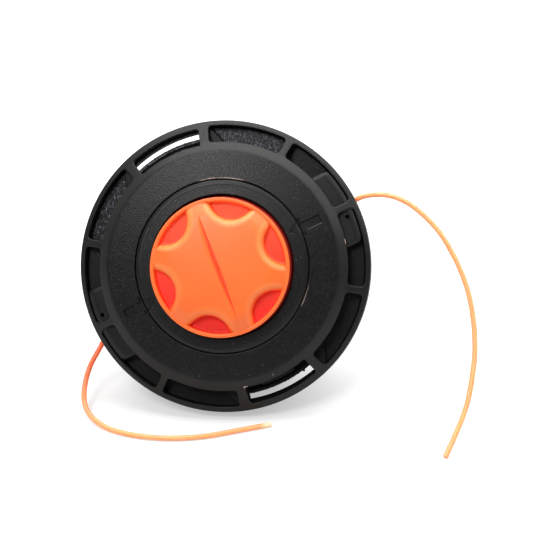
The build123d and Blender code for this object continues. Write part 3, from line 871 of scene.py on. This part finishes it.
tenth = tenth_loop()
for k in range(10):
    latch = k % 5 == 2
    half, deeper, lower, corners, roll = LATCH_WINDOW if latch else PLAIN_WINDOW
    reach = math.radians(half) * MID_RADIUS
    low, high = WINDOW_INNER - deeper, WINDOW_OUTER - lower
    middle = math.radians(36 * (k + 0.5))
    edge = window_loop(reach, low, high, corners, 0.0)
    top = window_loop(reach, low, high, corners, roll)
    rows = []
    for share in (0.0, 0.2, 0.4, 0.6, 0.8):
        between = [tuple(Vector(a).lerp(Vector(b), share)) for a, b in zip(tenth, top)]
        rows.append(ring_row(between, middle, 0))
    for lift in (90, 68, 45, 22, 0):
        grow = roll * (1 - math.cos(math.radians(lift)))
        fall = roll * (1 - math.sin(math.radians(lift)))
        rows.append(ring_row(window_loop(reach, low, high, corners, grow), middle, fall, latch))
    rows.append(ring_row(edge, middle, RING_THICKNESS / 2, latch))
    rows.append(ring_row(edge, middle, RING_THICKNESS))
    rows.append(ring_row(tenth, middle, RING_THICKNESS))
    add_net(cover_net, rows)
print("ring of windows, loops of", len(tenth))


# %% [markdown]
# The outer skirt and the inner wall of the cover are turned outlines, and the two latch
# fingers are short pieces of a ring with a hook at the back.

# %% Skirt, wall and fingers
def add_capped(net, rows):
    """A net that closes along each row, with a flat face at both ends."""
    first, width = len(net[0]), len(rows[0])
    add_net(net, rows)
    net[1].append(tuple(first + k for k in range(width)))
    net[1].append(tuple(first + (len(rows) - 1) * width + k for k in reversed(range(width))))


def add_slice(net, profile, half_angle, middle, columns=16):
    angles = [math.radians(middle + half_angle * (2 * k / columns - 1)) for k in range(columns + 1)]
    add_capped(net, [[at(radius, angle, height) for radius, height in profile] for angle in angles])


skirt_back = cover_height(FRAME_EDGE) - RING_THICKNESS
skirt = [
    (FRAME_EDGE, cover_height(FRAME_EDGE), 0),
    (RIM, cover_height(RIM), 0.7),
    (RIM_BACK, 0, 0.25),
    (WINDOW_OUTER, 0, 0.2),
    (WINDOW_OUTER, cover_height(WINDOW_OUTER) - RING_THICKNESS, 0),
    (FRAME_EDGE, skirt_back, 0),
]
add_turned(cover_net, rounded(skirt), 480)
wall_top = cover_height(WALL_OUTER) - RING_THICKNESS
add_turned(cover_net, band(WALL_INNER, WALL_OUTER, 0, wall_top))
FINGER, FINGER_FRONT = 1.2, 6.0
HOOK, HOOK_LEAD, HOOK_TALL = 1.4, 0.8, 3.5
finger = [
    (WALL_OUTER - 0.5, FINGER_FRONT, 0),
    (WALL_OUTER, FINGER_BACK, 0.3),
    (WALL_OUTER + FINGER + HOOK, FINGER_BACK + HOOK_LEAD, 0.3),
    (WALL_OUTER + FINGER + HOOK, FINGER_BACK + HOOK_TALL, 0.2),
    (WALL_OUTER + FINGER, FINGER_BACK + HOOK_TALL, 0.2),
    (WALL_OUTER + FINGER, FINGER_FRONT, 0.4),
]
for middle in (90, 270):
    add_slice(cover_net, rounded(finger, 3), 8.0, middle)
# The cover stands a little clockwise of the housing, as far as its latches let it.
COVER_TURN = -0.8
make_piece("vented_cover", cover_net, cover_black, "housing", "lower_cover", turn=COVER_TURN)


# %% [markdown]
# Through a latch window one sees the housing's catch: a speckled bridge with ragged flash on it, a narrow open
# slot, and the dark deck outside the slot. Behind the bridge the latch slot is closed at both ends, so that no
# light comes through there. A black sheet without sheen is painted shade: it lies in the gap in front of the
# bridge, on the deck outside the lower slot, and in a thin line round each ear.

# %% Latch bridges
BRIDGE_INNER, BRIDGE_OUTER = 57.2, 58.6
SLOT_OUTER = 61.7
BRIDGE_TOP, DECK_TOP, DECK_BACK = 5.3, 4.0, -2.4
BRIDGE_HALF, BRIDGE_STEPS = 15.6, 150
DECK_HALF, SHADE_SHEET_BACK = 16.6, 5.0
BLOCK_BACK, BLOCK_FRONT, BLOCK_AT, BLOCK_HALF = -2.2, -1.4, 12.0, 4.2


def add_bridge(net, middle, nub):
    rows = []
    for k in range(BRIDGE_STEPS + 1):
        angle = math.radians(middle + BRIDGE_HALF * (2 * k / BRIDGE_STEPS - 1))
        x = (angle - math.radians(middle)) * MID_RADIUS
        ragged = 0.45 * max(0.0, noise.noise(Vector((1.3 * x, middle, 0))))
        ragged += 0.9 * math.exp(-(((x - nub) / 0.45) ** 2))
        top = BRIDGE_TOP - 0.25 * abs(noise.noise(Vector((0.8 * x, middle, 3))))
        outline = [(BRIDGE_INNER, DECK_BACK), (BRIDGE_INNER, top), (BRIDGE_OUTER - 0.2, top)]
        outline += [(BRIDGE_OUTER + ragged, top - 0.4), (BRIDGE_OUTER, top - 1.2), (BRIDGE_OUTER, DECK_BACK)]
        rows.append([at(radius, angle, height) for radius, height in outline])
    add_net(net, rows)


# An ear with a round outline stands on the deck at both ends of a latch, ringed by a thin line of painted
# shade.
EAR_AT, EAR_TOP, EAR_ROUND, EAR_SHADE_WIDTH = 47.6, 5.9, 0.6, 0.5
EAR_RADII = {-1: 24.9, 1: 24.2}
EAR_FROM = math.radians(15.8)
EAR_FOOT, SHADE_LINE_TOP = DECK_TOP - 0.3, DECK_TOP + 0.03


def add_ear(net, ear_shade_net, middle, side):
    rows, ear_shade_rows = [], []
    size = EAR_RADII[side]
    for radius in spaced(WINDOW_INNER - 0.8, WINDOW_OUTER, 0.25):
        end = math.acos((radius**2 + EAR_AT**2 - size**2) / (2 * radius * EAR_AT))
        outline = [(EAR_FROM, EAR_FOOT), (EAR_FROM, EAR_TOP)]
        for lift in (math.radians(7.5 * k) for k in range(13)):
            back = EAR_ROUND * (1 - math.sin(lift))
            outline.append((end - back / radius, EAR_TOP - EAR_ROUND * (1 - math.cos(lift))))
        outline.append((end, EAR_FOOT))
        # Painted shade: a thin black strip on the deck round the ear.
        strip = band(end, end + EAR_SHADE_WIDTH / radius, EAR_FOOT, SHADE_LINE_TOP)
        for target, shape in ((rows, outline), (ear_shade_rows, strip)):
            target.append([at(radius, math.radians(middle) + side * angle, height) for angle, height in shape])
    add_capped(net, rows)
    add_capped(ear_shade_net, ear_shade_rows)


catch_net, painted_shade_net = ([], []), ([], [])
outside = [
    (SLOT_OUTER, DECK_BACK, 0),
    (SLOT_OUTER, DECK_TOP, 0.3),
    (WINDOW_OUTER, DECK_TOP, 0),
    (WINDOW_OUTER, DECK_BACK, 0),
]
behind = band(WALL_OUTER, BRIDGE_INNER, BLOCK_BACK, BLOCK_FRONT)
# Painted shade: a thin black sheet between the cover's wall and the bridge.
shade_sheet = band(WALL_OUTER, BRIDGE_INNER, SHADE_SHEET_BACK, BRIDGE_TOP - 0.04)
for middle, nub in ((90, 30.0), (270, 11.0)):
    add_bridge(catch_net, middle, nub)
    # The lower latch's outer deck is a sheet of painted shade; the upper one is housing plastic.
    add_slice(catch_net if middle == 90 else painted_shade_net, rounded(outside, 3), DECK_HALF, middle, 48)
    add_slice(painted_shade_net, shade_sheet, BRIDGE_HALF, middle, 48)
    for side in (-1, 1):
        add_ear(catch_net, painted_shade_net, middle, side)
        add_slice(catch_net, behind, BLOCK_HALF, middle + side * BLOCK_AT)
make_piece("latch_bridges", catch_net, housing_black, "housing", None)
make_piece("latch_painted_shade", painted_shade_net, painted_shade_black, "housing", None)

# %% [markdown]
# In front of each eyelet the housing has a raised pad with one small hole. A pad is a
# height over a curved net: flat inside, sloping like the cover's ring further out, less a
# round drop at its outer edge and at both ends, less the hole.

# %% Pads
PAD_LOW, PAD_HIGH = 55.6, WINDOW_OUTER - 0.35
PAD_FROM, PAD_TO = -17.9, 17.7
PAD_TOP, PAD_BELOW_RING = 9.7, 0.75
PAD_ROUND, PAD_END_ROUND = 0.6, 2.2
PAD_FOOT = DECK_TOP - 0.5
HOLE_AT, HOLE_SIDE, HOLE_RADIUS, HOLE_DEPTH = 59.1, -5.3, 0.75, 4.0


def round_drop(inside, size):
    return 0.0 if inside >= size else size - math.sqrt(max(0.0, size * size - (size - inside) ** 2))


def pad_point(radius, side):
    top = soft_min(PAD_TOP, cover_height(radius) - PAD_BELOW_RING, 0.25)
    drop = round_drop(PAD_HIGH - radius, PAD_ROUND)
    drop += round_drop(min(side - PAD_FROM, PAD_TO - side), PAD_END_ROUND)
    away = math.hypot(math.sqrt(radius * radius - side * side) - HOLE_AT, side - HOLE_SIDE)
    drop += HOLE_DEPTH * (1 - ease(away, HOLE_RADIUS - 0.15, HOLE_RADIUS + 0.15))
    return at(radius, math.asin(side / radius), max(DECK_TOP, top - drop))


pad_radii = spaced(PAD_LOW, PAD_HIGH, 0.2) + [PAD_HIGH]
pad_sides = spaced(PAD_FROM, PAD_TO, 0.2) + [PAD_TO]
pads_net = ([], [])
for flip in (1, -1):
    rows = [[pad_point(radius, side) for side in pad_sides] for radius in pad_radii]
    rows = [[(flip * x, flip * y, z) for x, y, z in row] for row in rows]
    add_net(pads_net, rows, close_columns=False)
    for row in (rows[0], rows[-1], [row[0] for row in rows], [row[-1] for row in rows]):
        add_net(pads_net, [row, [(x, y, PAD_FOOT) for x, y, z in row]], close_columns=False)
make_piece("line_pads", pads_net, pad_black, "housing", None)

# %% [markdown]
# The knob is what a gloved hand or the ground pushes: a low dome with six finger pockets
# that leave a thin lip outside, and one tapering groove across the top. In the photograph
# every edge on it is softly rolled, so its front is drawn as a height over each point of
# a round net: the dome, less a rolled drop into each pocket, less the groove.

# %% Knob
_, KNOB_FLANK, _, KNOB_TOP = extent("bump_knob")
KNOB_RADIUS = KNOB_FLANK - 0.9
KNOB_BACK = 12.0
LIP_INNER = KNOB_RADIUS - 1.7
LIP_FRONT = KNOB_TOP - 4.5
POCKET_FLOOR = LIP_FRONT - 3.2
POCKET_RADIUS, POCKET_AT = 9.7, KNOB_RADIUS + 0.2
POCKET_TURN = math.radians(-6)
DOME_EDGE = KNOB_RADIUS - 6.7
DOME_FALL, DOME_DROP = 1.3, 3.2
POCKET_ROLL, LIP_ROLL = 3.2, 0.55
GROOVE_TURN = POCKET_TURN + math.radians(90)
GROOVE_REACH, GROOVE_DEPTH = 25.0, 1.25
GROOVE_STEEP, GROOVE_GENTLE = 0.5, 3.0
print("knob", round(KNOB_RADIUS, 2), "top", round(KNOB_TOP, 2), "floor", round(POCKET_FLOOR, 2))


def dome_height(radius):
    crown = KNOB_TOP - DOME_FALL * (radius / DOME_EDGE) ** 2
    slope = LIP_FRONT + DOME_DROP * (LIP_INNER - radius) / (LIP_INNER - DOME_EDGE)
    return max(LIP_FRONT, soft_min(crown, slope, 0.5))


def rolled_drop(inside, roll, depth):
    """How far the surface drops at a distance inside a rolled edge."""
    if inside <= -roll:
        return 0.0
    if inside <= 0:
        return min(depth, roll - math.sqrt(roll * roll - (inside + roll) ** 2))
    share = 1 - min(1.0, inside / 0.7)
    return roll + (depth - roll) * (1 - share**3) if depth > roll else depth


def groove_drop(x, y):
    """A tapering groove with one steep and one gentle side."""
    taper = max(0.0, 1 - (x / GROOVE_REACH) ** 2)
    width = GROOVE_STEEP if y > 0 else GROOVE_GENTLE
    width *= 0.25 + 0.75 * taper
    return GROOVE_DEPTH * taper * (1 - ease(abs(y), 0.0, width)) if taper else 0.0


# The knob snaps in with a little play, and lies low and to the left in it.
PLAY_LEFT, PLAY_DOWN = 0.25, 0.5


def seated(x, y, height):
    share = (height - KNOB_BACK) / (LIP_FRONT - KNOB_BACK)
    shift = Vector((-PLAY_LEFT, -PLAY_DOWN)) * share
    shift.rotate(Matrix.Rotation(-EYELET_TURN, 2))
    return (x + shift.x, y + shift.y, height)


def knob_point(radius, angle):
    x, y, _ = at(radius, angle, 0)
    height = dome_height(radius)
    nearest = POCKET_TURN + round((angle - POCKET_TURN) / (math.tau / 6)) * math.tau / 6
    px, py, _ = at(POCKET_AT, nearest, 0)
    inside_wall = POCKET_RADIUS - math.hypot(x - px, y - py)
    inside_lip = LIP_INNER - radius
    depth = height - POCKET_FLOOR
    drop_wall = rolled_drop(inside_wall, POCKET_ROLL, depth)
    drop_lip = rolled_drop(inside_lip, LIP_ROLL, depth)
    drop = min(drop_wall, drop_lip) if radius > LIP_INNER - 1.5 else drop_wall
    gx = x * math.cos(GROOVE_TURN) + y * math.sin(GROOVE_TURN)
    gy = y * math.cos(GROOVE_TURN) - x * math.sin(GROOVE_TURN)
    height -= max(drop, groove_drop(gx, -gy))
    return seated(x, y, height)


KNOB_COLUMNS, KNOB_EDGE = 720, 0.4
knob_angles = [math.tau * k / KNOB_COLUMNS for k in range(KNOB_COLUMNS)]
knob_radii = spaced(0.3, 19.0, 0.6) + spaced(19.0, KNOB_RADIUS - KNOB_EDGE, 0.2)
knob_rows = [[knob_point(radius, angle) for angle in knob_angles] for radius in knob_radii]
for lift in (90, 60, 30, 0):
    radius = KNOB_RADIUS - KNOB_EDGE * (1 - math.cos(math.radians(lift)))
    height = LIP_FRONT - KNOB_EDGE * (1 - math.sin(math.radians(lift)))
    knob_rows.append([seated(*at(radius, angle, height)) for angle in knob_angles])
for radius, height in ((KNOB_FLANK, KNOB_BACK), (KNOB_FLANK - 3.0, KNOB_BACK)):
    knob_rows.append([seated(*at(radius, angle, height)) for angle in knob_angles])
knob_net = ([], [])
add_net(knob_net, knob_rows)
knob_net[1].append(tuple(range(KNOB_COLUMNS)))
make_piece("scalloped_knob", knob_net, knob_orange, "spool", "bump_knob", 60.0)

# %% [markdown]
# Round the knob lies the spool's collar. It is a shallow cone like the face, with a soft
# outer edge, and carries the heads of the two arrow marks.

# %% Collar
COLLAR_INNER = KNOB_FLANK + 0.35
COLLAR_OUTER = OPENING - 0.4
COLLAR_TOP = FACE_TOP + 1.05
COLLAR_SLOPE = 0.09
COLLAR_ROUND, COLLAR_INNER_ROUND = 1.5, 0.3
COLLAR_INSIDE, COLLAR_OUTSIDE = COLLAR_TOP - 2.6, COLLAR_TOP - 3.0


def collar_point(radius, angle):
    x, y, _ = at(radius, angle, 0)
    drop = COLLAR_SLOPE * (radius - COLLAR_INNER) + round_drop(COLLAR_OUTER - radius, COLLAR_ROUND)
    drop += round_drop(radius - COLLAR_INNER, COLLAR_INNER_ROUND)
    return (x, y, COLLAR_TOP - drop - 0.6 * arrow_drop(x, y))


collar_radii = spaced(COLLAR_INNER, COLLAR_OUTER, 0.12) + [COLLAR_OUTER]
collar_rows = [[at(COLLAR_INNER, angle, COLLAR_INSIDE) for angle in face_angles]]
collar_rows += [[collar_point(radius, angle) for angle in face_angles] for radius in collar_radii]
collar_rows.append([at(COLLAR_OUTER, angle, COLLAR_OUTSIDE) for angle in face_angles])
collar_net = ([], [])
add_net(collar_net, collar_rows, close_rows=True)
make_piece("collar_ring", collar_net, collar_black, "spool", None, turn=COVER_TURN)

# %% [markdown]
# The spring is out of sight behind the spool. It is drawn as wire wound in a helix with half a flat turn at
# each end, and rides on the spring body.

# %% Spring
_, wire_outside, back_seat, front_seat = extent("compression_spring")
SEAT_GAP, WIRE_RADIUS = 0.1, 0.9
SPRING_TURNS, FLAT_TURNS, SPRING_STEPS = 6.0, 0.5, 432
SPRING_RADIUS = wire_outside - WIRE_RADIUS
SPRING_BACK, SPRING_FRONT = back_seat + SEAT_GAP, front_seat - SEAT_GAP
SPRING_LENGTH = SPRING_FRONT - SPRING_BACK
section = [math.tau * i / 12 for i in range(12)]
section = [(WIRE_RADIUS * math.cos(a), WIRE_RADIUS * math.sin(a)) for a in section]
wire_rows = []
for k in range(SPRING_STEPS + 1):
    turns = SPRING_TURNS * k / SPRING_STEPS
    climb = min(1.0, max(0.0, (turns - FLAT_TURNS) / (SPRING_TURNS - 2 * FLAT_TURNS)))
    middle = SPRING_BACK + WIRE_RADIUS + climb * (SPRING_LENGTH - 2 * WIRE_RADIUS)
    wire_rows.append([at(SPRING_RADIUS + x, math.tau * turns, middle + y) for x, y in section])
spring_net = ([], [])
add_capped(spring_net, wire_rows)
spring = make_piece(
    "wire_spring", spring_net, spring_steel, "spring", "compression_spring", 60.0
)
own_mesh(spring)

# %% [markdown]
# The two loose ends of line are nylon monofilament: stiff enough to stand out of the
# eyelet in an arc, and heavy enough for their ends to lie on the floor. One smooth
# spline follows the same points as the CAD tube, so it bends where the tube bends.

# %% Loose line
LINE_RADIUS = 1.2 * MM


def loose_line(name, node, points):
    curve = bpy.data.curves.new(name, "CURVE")
    curve.dimensions = "3D"
    spline = curve.splines.new("NURBS")
    spline.points.add(len(points) - 1)
    for point, place in zip(spline.points, points):
        point.co = (*(number * MM for number in place), 1.0)
    spline.order_u = 3
    spline.use_endpoint_u = True
    spline.resolution_u = 12
    curve.bevel_depth = LINE_RADIUS
    curve.bevel_resolution = 4
    curve.use_fill_caps = True
    piece = bpy.data.objects.new(name, curve)
    scene.collection.objects.link(piece)
    curve.materials.append(line_orange)
    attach(piece, "housing")
    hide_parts(node)
    return piece


right_points = [
    (46.49, 9.19, 81.94), (53.78, 10.74, 85.58), (62.0, 10.3, 91.9), (78.0, 6.4, 92.9),
    (93.9, -1.0, 82.2), (103.2, -8.6, 69.5), (109.9, -17.2, 55.3), (112.6, -28.8, 37.2),
    (110.7, -39.3, 23.6), (107.3, -49.7, 12.5), (98.7, -64.0, 1.3),
]
left_points = [
    (-46.49, -10.54, 35.47), (-54.31, -12.2, 31.56), (-58.6, -15.0, 23.0), (-64.2, -24.5, 13.9),
    (-63.3, -39.5, 4.4), (-53.4, -50.4, 1.3), (-39.7, -57.0, 1.3), (-22.3, -59.1, 1.3),
    (-5.2, -56.4, 1.3), (9.6, -49.8, 1.3), (23.2, -44.2, 1.3),
]
right_line = loose_line("loose_line_right", "line_tail_right", right_points)
left_line = loose_line("loose_line_left", "line_tail_left", left_points)
print("loose lines", right_line.name, left_line.name)

# %% [markdown]
# The floor is a plain white sheet. It takes the head's shadow like any matt surface. The
# camera also sees a glow in it: little near the head, so that the shadow stays, and full
# white further away, where the photograph's background is plain white.

# %% Floor
bpy.ops.mesh.primitive_plane_add(size=8.0, location=(0, 0, 0))
floor = bpy.context.object
floor.name = "studio_floor"
floor_material, tree, shader = new_material("studio_white")
shader.inputs["Base Color"].default_value = (0.6, 0.6, 0.6, 1)
shader.inputs["Roughness"].default_value = 0.9
shader.inputs["Specular IOR Level"].default_value = 0.0
glow = add(tree, "ShaderNodeEmission")
glow.inputs["Color"].default_value = (1, 1, 1, 1)
path = add(tree, "ShaderNodeLightPath")
spot = add(tree, "ShaderNodeTexCoord")
distance = add(tree, "ShaderNodeVectorMath", operation="LENGTH")
wire(tree, spot.outputs["Object"], distance.inputs[0])
white = spread(tree, distance.outputs["Value"], 0.1, 0.3, 0.46, 1.0)
seen = larger(tree, path.outputs["Is Camera Ray"], path.outputs["Is Transmission Ray"])
seen = larger(tree, seen, times(tree, path.outputs["Is Glossy Ray"], 0.25))
wire(tree, times(tree, seen, white), glow.inputs["Strength"])
both = add(tree, "ShaderNodeAddShader")
wire(tree, shader.outputs["BSDF"], both.inputs[0])
wire(tree, glow.outputs["Emission"], both.inputs[1])
wire(tree, both.outputs["Shader"], tree.nodes["Material Output"].inputs["Surface"])
floor.data.materials.append(floor_material)
floor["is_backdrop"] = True
print("floor", tuple(floor.dimensions))

# %% [markdown]
# The light is a small white tent, bright behind the head and dark behind the camera. A wide
# lamp close overhead makes the soft shadow and the light upper half of the face, one above
# the camera lights the whole face a little, and one at the right picks out the pads' edges.

# %% Light
scene.view_settings.view_transform = "Standard"
world = bpy.data.worlds.new("white_tent")
scene.world = world
world.use_nodes = True
tree = world.node_tree
back = tree.nodes["Background"]
path = add(tree, "ShaderNodeLightPath")
seen = larger(tree, path.outputs["Is Glossy Ray"], path.outputs["Is Transmission Ray"])
toward = add(tree, "ShaderNodeTexCoord")
split = add(tree, "ShaderNodeSeparateXYZ")
wire(tree, toward.outputs["Generated"], split.inputs["Vector"])
tent = spread(tree, split.outputs["Y"], -0.7, 0.5, 0.1, 1.0)
tent = times(tree, tent, spread(tree, seen, 0.0, 1.0, 0.5, 1.0))
back.inputs["Color"].default_value = (1, 1, 1, 1)
wire(tree, larger(tree, path.outputs["Is Camera Ray"], tent), back.inputs["Strength"])


def lamp(name, place, target, width, depth, power):
    data = bpy.data.lights.new(name, "AREA")
    data.shape = "ELLIPSE"
    data.size = width
    data.size_y = depth
    data.energy = power
    thing = bpy.data.objects.new(name, data)
    scene.collection.objects.link(thing)
    thing.location = place
    thing.rotation_euler = (Vector(target) - Vector(place)).to_track_quat("-Z", "Y").to_euler()
    return thing


lamp("top_softbox", (0.05, 0.1, 0.72), (0.05, 0.07, 0.0), 1.2, 0.6, 7.0)
lamp("front_softbox", (-0.2, -0.62, 0.75), (0, 0, 0.06), 0.35, 0.35, 4.4)
lamp("right_strip", (0.62, -0.1, 0.52), (0, 0, 0.06), 0.3, 0.3, 0.9)

# %% [markdown]
# The size of the dressed model's box is printed, in millimetres.

# %% Size of the dressed model
low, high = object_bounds()
print("size", [round(v * 1000, 1) for v in high - low])
